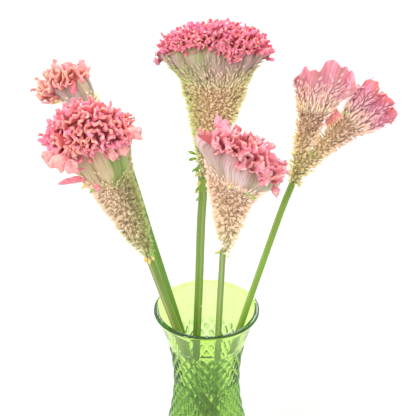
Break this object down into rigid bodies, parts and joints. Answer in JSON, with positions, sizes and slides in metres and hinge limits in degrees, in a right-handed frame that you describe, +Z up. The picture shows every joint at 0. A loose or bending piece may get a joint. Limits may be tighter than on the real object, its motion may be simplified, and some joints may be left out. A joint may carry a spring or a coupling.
{
  "type": "cockscomb celosia flowers in a glass vase",
  "caption": "Cut cockscomb celosia stems with folded pink crests over bristly floret cones, standing in water in a flared pressed glass vase.",
  "frame": {"origin": "centre of the vase's flat foot, on the surface that it stands on", "axes": "+Z up through the vase's mouth, -Y towards the viewer, +X to the viewer's right"},
  "size_m": [0.3189, 0.1425, 0.5197],
  "materials": {
    "vase_glass": "clear yellow-green pressed glass, polished by fire",
    "water": "clear still water",
    "stem": "smooth ribbed green plant stem, satin",
    "florets": "dry papery bristles, straw to mauve",
    "fan": "pleated pale plant tissue, matte",
    "crest": "velvety folded pink crest"
  },
  "bodies": {
    "root": {"vase": "vase_glass", "water": "water", "stem_back": "stem", "stem_front": "stem", "stem_left": "stem", "stem_far_left": "stem", "stem_right": "stem", "florets_back": "florets", "florets_front": "florets", "florets_left": "florets", "florets_far_left": "florets", "florets_right": "florets", "florets_right_upper": "florets", "florets_right_side": "florets", "fan_back": "fan", "fan_front": "fan", "fan_left": "fan", "fan_far_left": "fan", "fan_right_upper": "fan", "fan_right_side": "fan", "crest_back": "crest", "crest_front": "crest", "crest_left": "crest", "crest_far_left": "crest", "crest_right_upper": "crest", "crest_right_side": "crest"}
  },
  "joints": []
}
